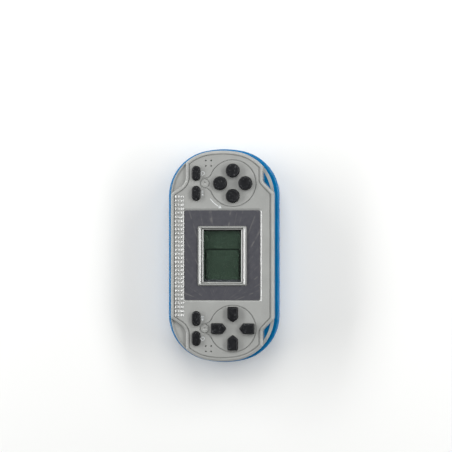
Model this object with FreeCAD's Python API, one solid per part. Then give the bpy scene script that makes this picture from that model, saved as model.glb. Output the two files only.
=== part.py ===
# Handheld LCD game, 84 x 44 x 21 mm, lying on its back with the screen up.
# X runs along the case (arrow keys at -X, round keys at +X), Y across it (towards the player
# is -Y), Z out of the screen. The origin is the centre of the flat back, and all sizes are mm.
import FreeCAD
import Part
import math
import os

Vector = FreeCAD.Vector

# ---------------------------------------------------------------- driving dimensions
# Outline of the silver front, in plan: straight sides, and ends of three arcs.
FRONT_LENGTH = 82.4
FRONT_WIDTH = 40.4
SHOULDER_RADIUS = 17.4
CROWN_RADIUS = 35.0
REAR_PROUD_SIDE = 1.75    # how far the blue rear stands out beyond the silver front
REAR_PROUD_END = 0.9

# Walls and the parting joint.
WALL = 1.6
PARTING_Z = 11.0
REAR_EDGE_RADIUS = 6.4
REAR_TOP_EASE = 1.0
SHELF_THICKNESS = 1.5     # rear casing's deck under the strap loops
TONGUE_WALL = 0.75
TONGUE_HEIGHT = 1.2
TONGUE_CLEARANCE = 0.1

# Corners cut into the raised front plate.
LOOP_EDGE_Y = 15.9        # strap loop corners, on the player's side
LOOP_KNEE_X = 29.2
LOOP_FOOT_X = 24.6
LOOP_KNEE_RADIUS = 1.6
LOOP_BAR_WIDTH = 1.15
LOOP_BAR_HEIGHT = 2.2
LOOP_BAR_DROP = 1.1       # bar top below the plate's face
SHOULDER_EDGE_Y = 14.3    # shoulder corners, on the far side
SHOULDER_KNEE_X = 28.4
SHOULDER_FOOT_X = 24.5
SHOULDER_KNEE_RADIUS = 5.0
SHOULDER_DROP = 1.3
SHOULDER_LIP_WIDTH = 0.5
SHOULDER_LIP_HEIGHT = 0.35
PLATE_CORNER_RADIUS = 0.8
PLATE_EDGE_RADIUS = 0.9
GROOVE_INSET = 1.25
GROOVE_WIDTH = 0.4
GROOVE_DEPTH = 0.35

# Batteries: two AAA cells side by side.
CELL_RADIUS = 5.2
CELL_BODY_LENGTH = 43.3
CELL_NUB_LENGTH = 0.8
CELL_NUB_RADIUS = 1.9
CELL_SHOULDER = 0.5
CELL_FOOT = 0.3
CELL_GAP = 0.6            # between the two cells
CELL_CLEARANCE = 0.3
SPRING_REACH = 3.2        # how far a contact's bowed leaf stands off its plate
SPRING_WIDTH = 3.6
SPRING_THICKNESS = 0.3
SPRING_FREE_GAP = 0.4     # between the leaf's free end and its plate
CONTACT_THICKNESS = 0.35
CONTACT_WIDTH = 7.6
CONTACT_GAP = 0.05
TAG_WIDTH = 2.6
TAG_SLOT_CLEARANCE = 0.15
TAG_DROP = 0.1            # tag's end below the board's top face
TAG_SHIFT = 2.2           # near contact's tag, off its cell's centre line

# Battery bay and its door.
BAY_WALL = 2.0
BAY_ROOF = 1.0
DOOR_THICKNESS = 1.5
DOOR_CORNER = 0.85
DOOR_LEDGE = 1.0          # how far the door overlaps the bay's walls
DOOR_CLEARANCE = 0.15
DOOR_LIFT = 0.05          # air between the door and its ledge
DOOR_TAB_WIDTH = 4.0
DOOR_TAB_REACH = 1.6
DOOR_TAB_THICKNESS = 1.15
DOOR_TAB_SIDE_GAP = 0.2
DOOR_TAB_ROOM = 0.4       # free room round a tab as it swings
DOOR_TAB_SETBACK = 0.3    # from the bay's end wall, so the tabs swing clear of the cells
DOOR_TAB_Y = 7.0
DOOR_RIB_COUNT = 6
DOOR_RIB_PITCH = 1.6
DOOR_RIB_LENGTH = 11.0
DOOR_RIB_WIDTH = 0.7
DOOR_RIB_DEPTH = 0.35
DOOR_GRIP_INSET = 3.5     # first grip rib, in from the door's free end
DOOR_ARROW_LENGTH = 4.0
DOOR_ARROW_WIDTH = 4.8
DOOR_ARROW_CORNER = 0.3
DOOR_ARROW_GAP = 1.0
LATCH_WIDTH = 8.0
LATCH_TONGUE = 2.5        # door's own extension under the latch
LATCH_LEG = 0.8
LATCH_SETBACK = 0.3       # inner leg, back from the tongue's end
LATCH_SIDE_GAP = 0.25
LATCH_ROOM = 0.5          # free room above and beyond the latch
LATCH_LIFT = 0.1          # finger end, above the back
LATCH_GAP = 0.6
LATCH_HEIGHT = 5.6
LATCH_NOSE = 0.5
LATCH_NOSE_HEIGHT = 0.9
LATCH_NOSE_GAP = 0.12     # between the nose and the wall that it catches
POCKET_WALL = 1.0
SCOOP_RADIUS = 8.0
SCOOP_DEPTH = 0.8
SCOOP_OFFSET = 2.4        # scoop's middle, out from the latch

# Board and display stack, upwards from the bay's roof.
BOARD_GAP = 0.3
BOARD_THICKNESS = 1.0
BOARD_INSET = 2.3
KEY_SPACE = 3.0           # from the board's top to the inside of the front plate
LCD_VIEW_LENGTH = 20.4
LCD_VIEW_WIDTH = 14.8
GLASS_THICKNESS = 0.7
GLASS_MARGIN_X = 1.6
GLASS_MARGIN_Y = 1.4
GLASS_LEDGE = 2.3         # contact ledge of the front glass
FILM_THICKNESS = 0.15
WINDOW_THICKNESS = 0.6
WINDOW_MARGIN = 1.1
WINDOW_CLEARANCE = 0.1
WINDOW_GAP = 0.05         # between the window and its rebate
WINDOW_CORNER = 0.3
WINDOW_REBATE = 0.75      # rebate's depth, up from the plate's inside
LCD_GAP = 0.05            # between the plate's inside and the top film
HOLDER_WALL = 0.8
HOLDER_CLEARANCE = 0.2
HOLDER_HEIGHT = 2.0
ZEBRA_WIDTH = 1.9
FOAM_WIDTH = 2.4
STRIP_INSET = 0.2         # rubber strip and foam, in from the edges of the glass
CHIP_RADIUS = 4.5
CHIP_HEIGHT = 1.0
COMPONENT_SIZE = (1.0, 2.0, 0.7)
COMPONENT_PLACES = [(16.0, -8.0), (16.0, -4.0), (16.0, 0.5), (-17.2, 4.0), (-17.2, -3.0)]

# Screen frame and its dark panel.
PANEL_LENGTH = 35.3
PANEL_WIDTH = 29.8
PANEL_CORNER = 0.7
PANEL_RECESS = 0.35
PANEL_THICKNESS = 0.2
PANEL_MARGIN = 0.1
PANEL_SHIFT = 0.3         # panel's middle, towards the round keys
PANEL_SLOPE = 0.6         # run of the recess's sloping walls, in plan
FRAME_LENGTH = 23.3
FRAME_WIDTH = 19.2
FRAME_RISE = 0.95         # crest above the recess floor
FRAME_TAPER = 0.4
CREST_LENGTH = 22.1       # inner edge of the crest, from which a bevel falls to the brow
CREST_WIDTH = 18.0
CREST_RADIUS = 0.15
BROW_LENGTH = 21.6
BROW_WIDTH = 16.6
BROW_DEPTH = 0.4          # below the crest
LIP_LENGTH = 21.1         # lip round the opening, with a gutter between it and the brow
LIP_WIDTH = 15.8
LIP_DEPTH = 0.92
SILL_DEPTH = 1.2          # gutter's floor, and the lip's inner edge

# Key pads, one at each end.
PAD_X = 28.4
PAD_Y = -4.1
PAD_RADIUS = 9.3
PAD_NECK_HALF = 2.15
PAD_BOSS_Y = 6.8
PAD_FILLET = 2.5
PAD_LINE_WIDTH = 0.35
PAD_LINE_DEPTH = 0.3
PAD_DISH_DEPTH = 0.4
DISH_MARGIN = 0.35
RIVET_RADIUS = 1.85
RIVET_RING = 0.3
RIVET_DEPTH = 0.3
RIVET_DIMPLE = 0.8

# Keys.
ROUND_KEY_RADIUS = 2.6
ROUND_KEY_GAP = 0.4       # between the flanges of neighbouring keys
ARROW_TIP = 2.55          # from the pad's centre
ARROW_END = 8.4
ARROW_HALF_WIDTH = 1.95
ARROW_TAPER = 1.6
ARROW_CORNER = 0.5
SMALL_KEY_LENGTH = 5.6
SMALL_KEY_WIDTH = 3.15
SMALL_KEY_Y = 10.2
SMALL_KEY_PITCH = 3.9     # from the pad's centre line
KEY_CLEARANCE = 0.15
KEY_STAND = 1.7           # key's top above the front plate's pad
SMALL_KEY_STAND = 1.3
KEY_EDGE_RADIUS = 0.5
FLANGE_WIDTH = 0.7
SMALL_FLANGE_WIDTH = 0.5
FLANGE_THICKNESS = 0.8
FLANGE_GAP = 0.05
KEY_TRAVEL = 1.0
TRAVEL_MARGIN = 0.1

# Rubber membranes under the keys.
SHEET_THICKNESS = 0.8
SHEET_RADIUS = 9.3
SMALL_SHEET_LENGTH = 14.4
SMALL_SHEET_WIDTH = 4.6
SHEET_CORNER = 1.0
SHEET_NECK = 8.0
DOME_BASE_RADIUS = 3.0
DOME_TOP_RADIUS = 1.9
DOME_WALL = 0.4
SMALL_DOME_BASE_RADIUS = 2.1
SMALL_DOME_TOP_RADIUS = 1.5
PILL_RADIUS = 1.3
SMALL_PILL_RADIUS = 0.9
PILL_THICKNESS = 0.35

# Fasteners, as (x, y) at the +X end, repeated at the -X end.
NEAR_SCREW = (20.6, -16.0)
FAR_SCREW = (31.5, 14.9)
BOARD_SCREW_X = 14.5
BOARD_SCREW_GAP = 0.7     # between a board screw's head and the bay's wall
SCREW_RADIUS = 1.0
SCREW_HEAD_RADIUS = 1.8
SCREW_HEAD_HEIGHT = 1.4
SCREW_LENGTH = 6.5
THREAD_FIT = 0.02
HEAD_ROUNDING = 0.45      # of the head's height
CROSS_REACH = 0.62        # of the head's radius
CROSS_HALF_WIDTH = 0.13
PILOT_SPARE = 0.4         # hole left past the end of a screw
SCREW_CLEARANCE = 0.15
BOSS_RADIUS = 2.2
POST_WALL = 0.6
POST_CLEARANCE = 0.15
POST_WEB = 1.2
POST_TOP_Z = 9.2
COUNTERBORE_RADIUS = 2.0
COUNTERBORE_DEPTH = 6.5
BOARD_SCREW_RADIUS = 0.8
BOARD_HEAD_RADIUS = 1.5
BOARD_HEAD_HEIGHT = 0.9
BOARD_SCREW_LENGTH = 2.6
BOARD_BOSS_RADIUS = 1.7
BOARD_HOLE_CLEARANCE = 0.25

# Sounder, in the rear casing under the -X speaker holes.
SPEAKER_X = 36.25
SPEAKER_Y = 5.35
SPEAKER_PITCH = 2.1
SPEAKER_HOLE_RADIUS = 0.3
BUZZER_X = -34.2
BUZZER_Y = 0.5
BUZZER_RADIUS = 5.5
CERAMIC_RADIUS = 4.0
BUZZER_THICKNESS = 0.2
BUZZER_SEAT_Z = 6.0
BUZZER_RING_WALL = 0.8
BUZZER_LEDGE = 0.2        # ring's edge, out beyond the disc
WIRE_RADIUS = 0.3
BEND_SHARE = 0.45         # of the shorter run beside it, taken by each bend
LEAD_RISE = 2.5           # straight run at each end of a lead
BRASS_JOINT = (0.0, -4.7) # where the leads are soldered, from the disc's centre
CERAMIC_JOINT = (2.0, 0.0)
BRASS_LEAD_SHIFT = (2.2, -2.4)
CERAMIC_LEAD_SHIFT = (1.8, -3.2)

# Grip ribs along the far side of the screen. Each is two bumps in a line, with sloping ends.
RIB_COUNT = 30
RIB_PITCH = 1.6
RIB_WIDTH = 0.85
RIB_HEIGHT = 0.32
RIB_SLOPE = 0.55          # run of each sloping end, in plan
RIB_FLANK = 0.05          # run of each long side, in plan
RIB_BUMPS = [(15.0, 16.25), (16.75, 18.5)]

# ---------------------------------------------------------------- heights that follow
CELL_SPACING = 2 * CELL_RADIUS + CELL_GAP
CELL_Z = DOOR_THICKNESS + CELL_CLEARANCE + CELL_RADIUS
BAY_TOP_Z = CELL_Z + CELL_RADIUS + CELL_CLEARANCE
BOARD_Z = BAY_TOP_Z + BAY_ROOF + BOARD_GAP
BOARD_TOP_Z = BOARD_Z + BOARD_THICKNESS
PLATE_INSIDE_Z = BOARD_TOP_Z + KEY_SPACE
PLATE_TOP_Z = PLATE_INSIDE_Z + WALL
SHOULDER_TOP_Z = PLATE_TOP_Z - SHOULDER_DROP
RECESS_Z = PLATE_TOP_Z - PANEL_RECESS
CREST_Z = RECESS_Z + FRAME_RISE
FLANGE_TOP_Z = PLATE_INSIDE_Z - FLANGE_GAP
FLANGE_Z = FLANGE_TOP_Z - FLANGE_THICKNESS
PILL_Z = BOARD_TOP_Z + KEY_TRAVEL + TRAVEL_MARGIN
ROUND_KEY_PITCH = (ROUND_KEY_RADIUS + FLANGE_WIDTH + ROUND_KEY_GAP / 2) * math.sqrt(2)
CELL_FULL_LENGTH = CELL_BODY_LENGTH + CELL_NUB_LENGTH
BAY_HALF_LENGTH = (CELL_FULL_LENGTH + SPRING_REACH) / 2 + CONTACT_THICKNESS + CONTACT_GAP
BAY_HALF_WIDTH = CELL_SPACING / 2 + CELL_RADIUS + CELL_CLEARANCE
BOARD_SCREW_Y = BAY_HALF_WIDTH + BAY_WALL + BOARD_SCREW_GAP + BOARD_HEAD_RADIUS
BOARD_SCREW = (BOARD_SCREW_X, BOARD_SCREW_Y)
LCD_VIEW = (LCD_VIEW_LENGTH, LCD_VIEW_WIDTH)
DOOR_HALF_LENGTH = BAY_HALF_LENGTH + DOOR_LEDGE
DOOR_HALF_WIDTH = BAY_HALF_WIDTH + DOOR_LEDGE
FAR = 100.0               # well outside the model, for cutting tools
OVERRUN = 1.0             # how far a cutting tool runs past what it cuts
EMBED = 0.5               # how far a feature runs into the wall that it grows from
HAIR = 0.01               # smallest step between two surfaces
ENDS = (-1, 1)


# ---------------------------------------------------------------- drawing helpers
def arc(start, through, end):
    return Part.Arc(start, through, end).toShape()


def face_of(edges, z=0.0):
    face = Part.Face(Part.Wire(edges))
    face.translate(Vector(0, 0, z))
    return face


def rounded_polygon(points, radii):
    """A face whose corners are rounded, each by its own radius."""
    count = len(points)
    corners = []
    for i in range(count):
        here = Vector(*points[i], 0)
        back = (Vector(*points[i - 1], 0) - here).normalize()
        ahead = (Vector(*points[(i + 1) % count], 0) - here).normalize()
        radius = radii[i]
        if radius == 0:
            corners.append((here, None, here))
            continue
        half = back.getAngle(ahead) / 2
        reach = radius / math.tan(half)
        middle = (back + ahead).normalize()
        centre = here + middle * (radius / math.sin(half))
        corners.append((here + back * reach, centre - middle * radius, here + ahead * reach))
    edges = []
    for i in range(count):
        start, through, end = corners[i]
        if through is not None:
            edges.append(arc(start, through, end))
        following = corners[(i + 1) % count][0]
        if (following - end).Length > 1e-6:
            edges.append(Part.makeLine(end, following))
    return face_of(edges)


def rectangle(length, width, corner=0.0, x=0.0, y=0.0):
    a, b = length / 2, width / 2
    points = [(x - a, y - b), (x + a, y - b), (x + a, y + b), (x - a, y + b)]
    return rounded_polygon(points, [corner] * 4)


def disc(radius, x=0.0, y=0.0):
    return face_of([Part.makeCircle(radius, Vector(x, y, 0))])


def prism(face, low, high):
    """The solid that a face makes between two heights."""
    body = face.copy()
    body.translate(Vector(0, 0, low))
    return body.extrude(Vector(0, 0, high - low))


def block(x0, x1, y0, y1, z0, z1):
    return Part.makeBox(x1 - x0, y1 - y0, z1 - z0, Vector(x0, y0, z0))


def rod(radius, x, y, z0, z1):
    return Part.makeCylinder(radius, z1 - z0, Vector(x, y, z0))


def one_face(shape):
    return shape.Faces[0]


def grown(face, distance):
    """The face with its outline moved outwards, or inwards if distance is negative."""
    return one_face(face.makeOffset2D(distance))


def softened(face, radius):
    """The face with its outer corners rounded."""
    return grown(grown(face, -radius), radius)


def filled_corners(face, radius):
    """The face with its inner corners rounded."""
    return grown(grown(face, radius), -radius)


def joined(shapes):
    return shapes[0].fuse(shapes[1:]).removeSplitter() if len(shapes) > 1 else shapes[0]


def without(shape, tools):
    return shape.cut(tools).removeSplitter() if tools else shape


def edges_at(shape, z):
    """The edges that lie flat at a height."""
    found = []
    for edge in shape.Edges:
        box = edge.BoundBox
        if abs(box.ZMin - z) < 1e-4 and abs(box.ZMax - z) < 1e-4:
            found.append(edge)
    return found


def four_corners(point):
    x, y = point
    return [(sx * x, sy * y) for sx in ENDS for sy in ENDS]


def save(name, shape):
    """Writes a node, after checking that it is made of good closed solids."""
    solids = shape.Solids
    for solid in solids:
        if not solid.isValid() or solid.Volume <= 0:
            raise ValueError(name + " has a bad solid")
    out = solids[0] if len(solids) == 1 else Part.makeCompound(solids)
    out.exportStep("parts/" + name + ".step")
    print(name, len(solids), "solid(s)", round(sum(s.Volume for s in solids), 2), "mm3")


# ---------------------------------------------------------------- plan shapes
def capsule(end_proud=0.0, side_proud=0.0):
    """The case's outline in plan, moved outwards at its ends and at its sides."""
    a = FRONT_LENGTH / 2 + end_proud
    b = FRONT_WIDTH / 2 + side_proud
    shoulder = SHOULDER_RADIUS + end_proud
    crown = CROWN_RADIUS + end_proud
    crown_x = a - crown
    shoulder_y = b - shoulder
    shoulder_x = crown_x + math.sqrt((crown - shoulder) ** 2 - shoulder_y ** 2)
    lean = math.atan2(shoulder_y, shoulder_x - crown_x)
    middle = (lean + math.pi / 2) / 2
    meet = Vector(crown_x + crown * math.cos(lean), crown * math.sin(lean), 0)
    bulge = Vector(shoulder_x + shoulder * math.cos(middle), shoulder_y + shoulder * math.sin(middle), 0)
    side = Vector(shoulder_x, b, 0)

    def at(point, sx, sy):
        return Vector(sx * point.x, sy * point.y, 0)

    edges = []
    for sx in ENDS:
        edges.append(arc(at(side, sx, -1), at(bulge, sx, -1), at(meet, sx, -1)))
        edges.append(arc(at(meet, sx, -1), Vector(sx * a, 0, 0), at(meet, sx, 1)))
        edges.append(arc(at(meet, sx, 1), at(bulge, sx, 1), at(side, sx, 1)))
    for sy in ENDS:
        edges.append(Part.makeLine(at(side, -1, sy), at(side, 1, sy)))
    return face_of(Part.__sortEdges__(edges))


def corner_region(edge_y, knee_x, foot_x, knee_radius, sx, sy):
    """Everything outside a cut corner: along the edge, round the knee and out past the side."""
    half = FRONT_WIDTH / 2
    slope = (knee_x - foot_x) / (half - edge_y)
    out_y = FAR
    out_x = knee_x - slope * (out_y - edge_y)
    points = [(FAR, edge_y), (knee_x, edge_y), (out_x, out_y), (FAR, out_y)]
    points = [(sx * x, sy * y) for x, y in points]
    return rounded_polygon(points, [0, knee_radius, 0, 0])


def loop_region(sx):
    return corner_region(LOOP_EDGE_Y, LOOP_KNEE_X, LOOP_FOOT_X, LOOP_KNEE_RADIUS, sx, -1)


def shoulder_region(sx):
    return corner_region(
        SHOULDER_EDGE_Y, SHOULDER_KNEE_X, SHOULDER_FOOT_X, SHOULDER_KNEE_RADIUS, sx, 1
    )


def body_plan():
    """The closed body's outline: the capsule without its strap loop corners."""
    cut = capsule().cut([loop_region(sx) for sx in ENDS])
    return softened(one_face(cut), PLATE_CORNER_RADIUS)


def plate_plan():
    """The raised front plate's outline, with all four corners cut."""
    regions = [loop_region(sx) for sx in ENDS] + [shoulder_region(sx) for sx in ENDS]
    return softened(one_face(capsule().cut(regions)), PLATE_CORNER_RADIUS)


def keyhole_plan(sx):
    """A key pad's outline: a disc with a neck that ends round the little boss."""
    neck = rectangle(
        2 * PAD_NECK_HALF, PAD_BOSS_Y - PAD_Y, x=sx * PAD_X, y=(PAD_BOSS_Y + PAD_Y) / 2
    )
    pieces = [disc(PAD_RADIUS, sx * PAD_X, PAD_Y), neck, disc(PAD_NECK_HALF, sx * PAD_X, PAD_BOSS_Y)]
    return filled_corners(one_face(joined(pieces)), PAD_FILLET)


def arrow_plan(sx, dx, dy):
    """An arrow key's outline, its tip towards the pad's centre. (dx, dy) points outwards."""
    shoulder = ARROW_TIP + ARROW_TAPER
    local = [
        (ARROW_TIP, 0),
        (shoulder, -ARROW_HALF_WIDTH),
        (ARROW_END, -ARROW_HALF_WIDTH),
        (ARROW_END, ARROW_HALF_WIDTH),
        (shoulder, ARROW_HALF_WIDTH),
    ]
    points = [(sx * PAD_X + r * dx - s * dy, PAD_Y + r * dy + s * dx) for r, s in local]
    return rounded_polygon(points, [ARROW_CORNER] * 5)


# ---------------------------------------------------------------- the keys' plan
def key_table():
    """Each key as (name, end, outline, x, y, small)."""
    keys = []
    ways = {"right": (1, 0), "left": (-1, 0), "upper": (0, 1), "lower": (0, -1)}
    for name, (dx, dy) in ways.items():
        x, y = PAD_X + dx * ROUND_KEY_PITCH, PAD_Y + dy * ROUND_KEY_PITCH
        keys.append(("action_button_" + name, 1, disc(ROUND_KEY_RADIUS, x, y), x, y, False))
    middle = (ARROW_TIP + ARROW_END) / 2
    for name, (dx, dy) in ways.items():
        x, y = -PAD_X + dx * middle, PAD_Y + dy * middle
        keys.append(("arrow_button_" + name, -1, arrow_plan(-1, dx, dy), x, y, False))
    for sx, side in ((-1, "left"), (1, "right")):
        for step, place in ((-1, "inner"), (1, "outer")):
            x = sx * (PAD_X + step * SMALL_KEY_PITCH)
            oval = rectangle(
                SMALL_KEY_LENGTH, SMALL_KEY_WIDTH, SMALL_KEY_WIDTH / 2 - HAIR, x, SMALL_KEY_Y
            )
            keys.append(("small_button_" + side + "_" + place, sx, oval, x, SMALL_KEY_Y, True))
    return keys


KEYS = key_table()


# ---------------------------------------------------------------- front casing
def strap_bars(body):
    """The bars that bridge the loop corners, along the case's outline."""
    ring = capsule().cut(grown(capsule(), -LOOP_BAR_WIDTH))
    top = PLATE_TOP_Z - LOOP_BAR_DROP
    bars = []
    for sx in ENDS:
        region = grown(loop_region(sx), WALL / 2)
        plan = one_face(ring.common(region))
        bars.append(prism(plan, top - LOOP_BAR_HEIGHT, top))
    return bars


def shoulder_lips():
    """Low lips along the outline of the two shoulder corners."""
    ring = capsule().cut(grown(capsule(), -SHOULDER_LIP_WIDTH))
    top = SHOULDER_TOP_Z + SHOULDER_LIP_HEIGHT
    return [
        prism(one_face(ring.common(shoulder_region(sx))), SHOULDER_TOP_Z - EMBED, top) for sx in ENDS
    ]


def screen_frame():
    """The bevelled frame that stands up round the display."""
    low = rectangle(FRAME_LENGTH, FRAME_WIDTH, PANEL_CORNER)
    high = rectangle(FRAME_LENGTH - 2 * FRAME_TAPER, FRAME_WIDTH - 2 * FRAME_TAPER, PANEL_CORNER)
    low.translate(Vector(0, 0, RECESS_Z))
    high.translate(Vector(0, 0, CREST_Z))
    frame = Part.makeLoft([low.OuterWire, high.OuterWire], True, True)
    foot = prism(rectangle(FRAME_LENGTH, FRAME_WIDTH, PANEL_CORNER), RECESS_Z - EMBED, RECESS_Z)
    frame = joined([frame, foot])
    return frame.makeFillet(CREST_RADIUS, edges_at(frame, CREST_Z))


def bevel_between(upper, upper_z, lower, lower_z):
    """The block between two rectangles at two heights, with sloping sides."""
    wires = []
    for (length, width), z in ((lower, lower_z), (upper, upper_z)):
        outline = rectangle(length, width)
        outline.translate(Vector(0, 0, z))
        wires.append(outline.OuterWire)
    return Part.makeLoft(wires, True, True)


def screen_well():
    """What is cut away inside the frame: a bevel, a gutter, a sloping lip and the opening."""
    brow, lip = (BROW_LENGTH, BROW_WIDTH), (LIP_LENGTH, LIP_WIDTH)
    brow_z, lip_z, sill_z = CREST_Z - BROW_DEPTH, CREST_Z - LIP_DEPTH, CREST_Z - SILL_DEPTH
    bevel = bevel_between((CREST_LENGTH, CREST_WIDTH), CREST_Z + HAIR, brow, brow_z)
    gutter = prism(rectangle(*brow), sill_z, brow_z).cut(prism(rectangle(*lip), sill_z, lip_z))
    slope = bevel_between(lip, lip_z, LCD_VIEW, sill_z)
    opening = prism(rectangle(*LCD_VIEW), PLATE_INSIDE_Z - OVERRUN, sill_z + HAIR)
    rebate = prism(
        rectangle(*(side + 2 * (WINDOW_MARGIN + WINDOW_CLEARANCE) for side in LCD_VIEW)),
        PLATE_INSIDE_Z - OVERRUN,
        PLATE_INSIDE_Z + WINDOW_REBATE,
    )
    return [joined([bevel, gutter, slope]), opening, rebate]


def panel_recess():
    """The dark panel's recess, whose walls slope back up to the plate's face."""
    slope = 2 * PANEL_SLOPE
    low = rectangle(PANEL_LENGTH, PANEL_WIDTH, PANEL_CORNER, PANEL_SHIFT)
    high = rectangle(
        PANEL_LENGTH + slope, PANEL_WIDTH + slope, PANEL_CORNER + PANEL_SLOPE, PANEL_SHIFT
    )
    low.translate(Vector(0, 0, RECESS_Z))
    high.translate(Vector(0, 0, PLATE_TOP_Z + HAIR))
    return Part.makeLoft([low.OuterWire, high.OuterWire], True, True)


def grip_ribs():
    ribs = []
    for i in range(RIB_COUNT):
        x = (i - (RIB_COUNT - 1) / 2) * RIB_PITCH
        for y0, y1 in RIB_BUMPS:
            base = rectangle(RIB_WIDTH, y1 - y0, 0, x, (y0 + y1) / 2)
            top = rectangle(RIB_WIDTH - 2 * RIB_FLANK, y1 - y0 - 2 * RIB_SLOPE, 0, x, (y0 + y1) / 2)
            foot = prism(base, PLATE_TOP_Z - EMBED, PLATE_TOP_Z)
            base.translate(Vector(0, 0, PLATE_TOP_Z))
            top.translate(Vector(0, 0, PLATE_TOP_Z + RIB_HEIGHT))
            ribs += [foot, Part.makeLoft([base.OuterWire, top.OuterWire], True, True)]
    return ribs


def pad_cuts(sx):
    """A pad's outline groove, its dish and the ring and dimple of the little boss."""
    plan = keyhole_plan(sx)
    line = plan.cut(grown(plan, -PAD_LINE_WIDTH))
    groove = prism(line, PLATE_TOP_Z - PAD_LINE_DEPTH, PLATE_TOP_Z + OVERRUN)
    reach = PAD_RADIUS - PAD_LINE_WIDTH - DISH_MARGIN
    sphere = (reach ** 2 + PAD_DISH_DEPTH ** 2) / (2 * PAD_DISH_DEPTH)
    dish = Part.makeSphere(sphere, Vector(sx * PAD_X, PAD_Y, PLATE_TOP_Z - PAD_DISH_DEPTH + sphere))
    ring = disc(RIVET_RADIUS, sx * PAD_X, PAD_BOSS_Y).cut(
        disc(RIVET_RADIUS - RIVET_RING, sx * PAD_X, PAD_BOSS_Y)
    )
    rivet = prism(ring, PLATE_TOP_Z - RIVET_DEPTH, PLATE_TOP_Z + OVERRUN)
    dimple = Part.makeSphere(
        RIVET_DIMPLE, Vector(sx * PAD_X, PAD_BOSS_Y, PLATE_TOP_Z + RIVET_DIMPLE - RIVET_DEPTH)
    )
    return [groove, dish, rivet, dimple]


def speaker_holes(sx):
    step = SPEAKER_PITCH / 2
    low, high = PLATE_INSIDE_Z - OVERRUN, PLATE_TOP_Z + OVERRUN
    return [
        rod(SPEAKER_HOLE_RADIUS, sx * SPEAKER_X + dx, SPEAKER_Y + dy, low, high)
        for dx in (-step, step)
        for dy in (-step, step)
    ]


def case_screw_places():
    return [(sx * x, y) for sx in ENDS for x, y in (NEAR_SCREW, FAR_SCREW)]


def front_bosses():
    """Screw bosses for the rear casing and for the board, with their pilot holes."""
    low = COUNTERBORE_DEPTH + POST_WEB + POST_CLEARANCE
    roots = (PLATE_INSIDE_Z + EMBED, SHOULDER_TOP_Z - WALL / 2)
    bosses = [rod(BOSS_RADIUS, x, y, low, roots[y > 0]) for x, y in case_screw_places()]
    pilots = [
        rod(SCREW_RADIUS + THREAD_FIT, x, y, low - OVERRUN, COUNTERBORE_DEPTH + SCREW_LENGTH + PILOT_SPARE)
        for x, y in case_screw_places()
    ]
    for x, y in four_corners(BOARD_SCREW):
        bosses.append(rod(BOARD_BOSS_RADIUS, x, y, BOARD_TOP_Z, PLATE_INSIDE_Z + EMBED))
        end = BOARD_Z + BOARD_SCREW_LENGTH + PILOT_SPARE
        pilots.append(rod(BOARD_SCREW_RADIUS + THREAD_FIT, x, y, BOARD_TOP_Z - OVERRUN, end))
    return bosses, pilots


def lcd_outline(clearance=0.0):
    """(x0, x1, y0, y1) of the display's front glass, grown by a clearance."""
    x1 = LCD_VIEW_LENGTH / 2 + GLASS_MARGIN_X
    y1 = LCD_VIEW_WIDTH / 2 + GLASS_MARGIN_Y
    return (-x1 - GLASS_LEDGE - clearance, x1 + clearance, -y1 - clearance, y1 + clearance)


def lcd_holder():
    """Ribs inside the front plate that hold the display's glass."""
    inner = lcd_outline(HOLDER_CLEARANCE)
    outer = lcd_outline(HOLDER_CLEARANCE + HOLDER_WALL)
    z0 = PLATE_INSIDE_Z - HOLDER_HEIGHT
    wall = block(*outer, z0, PLATE_INSIDE_Z + EMBED)
    return wall.cut(block(*inner, z0 - OVERRUN, PLATE_INSIDE_Z))


def front_casing():
    plate = plate_plan()
    body = body_plan()
    raised = prism(plate, PARTING_Z, PLATE_TOP_Z)
    raised = raised.makeFillet(PLATE_EDGE_RADIUS, edges_at(raised, PLATE_TOP_Z))
    lower = prism(body, PARTING_Z, SHOULDER_TOP_Z)
    casing = joined([raised, lower] + shoulder_lips() + strap_bars(body))
    cavity = joined(
        [
            prism(grown(plate, -WALL), PARTING_Z - OVERRUN, PLATE_INSIDE_Z),
            prism(grown(body, -WALL), PARTING_Z - OVERRUN, SHOULDER_TOP_Z - WALL),
            prism(
                grown(body, -TONGUE_WALL),
                PARTING_Z - OVERRUN,
                PARTING_Z + TONGUE_HEIGHT + TONGUE_CLEARANCE,
            ),
        ]
    )
    line = grown(plate, -GROOVE_INSET).cut(grown(plate, -GROOVE_INSET - GROOVE_WIDTH))
    groove = prism(line, PLATE_TOP_Z - GROOVE_DEPTH, PLATE_TOP_Z + OVERRUN)
    bosses, pilots = front_bosses()
    casing = without(casing, [cavity, panel_recess(), groove])
    casing = joined([casing, screen_frame(), lcd_holder()] + grip_ribs() + bosses)
    cuts = screen_well() + pilots
    for sx in ENDS:
        cuts += pad_cuts(sx) + speaker_holes(sx)
    for name, end, outline, x, y, small in KEYS:
        cuts.append(prism(grown(outline, KEY_CLEARANCE), PLATE_INSIDE_Z - OVERRUN, PLATE_TOP_Z + OVERRUN))
    casing = without(casing, cuts)
    return casing


# ---------------------------------------------------------------- rear casing
def bay_block():
    x1 = BAY_HALF_LENGTH + BAY_WALL
    y1 = BAY_HALF_WIDTH + BAY_WALL
    return block(-x1, x1, -y1, y1, 0, BAY_TOP_Z + BAY_ROOF)


def latch_x():
    """Where the latch's parts stand, along X: (tongue end, inner leg, outer leg)."""
    tongue = DOOR_HALF_LENGTH + LATCH_TONGUE
    inner = tongue - LATCH_LEG - LATCH_SETBACK
    outer = tongue + LATCH_GAP
    return tongue, inner, outer


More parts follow.
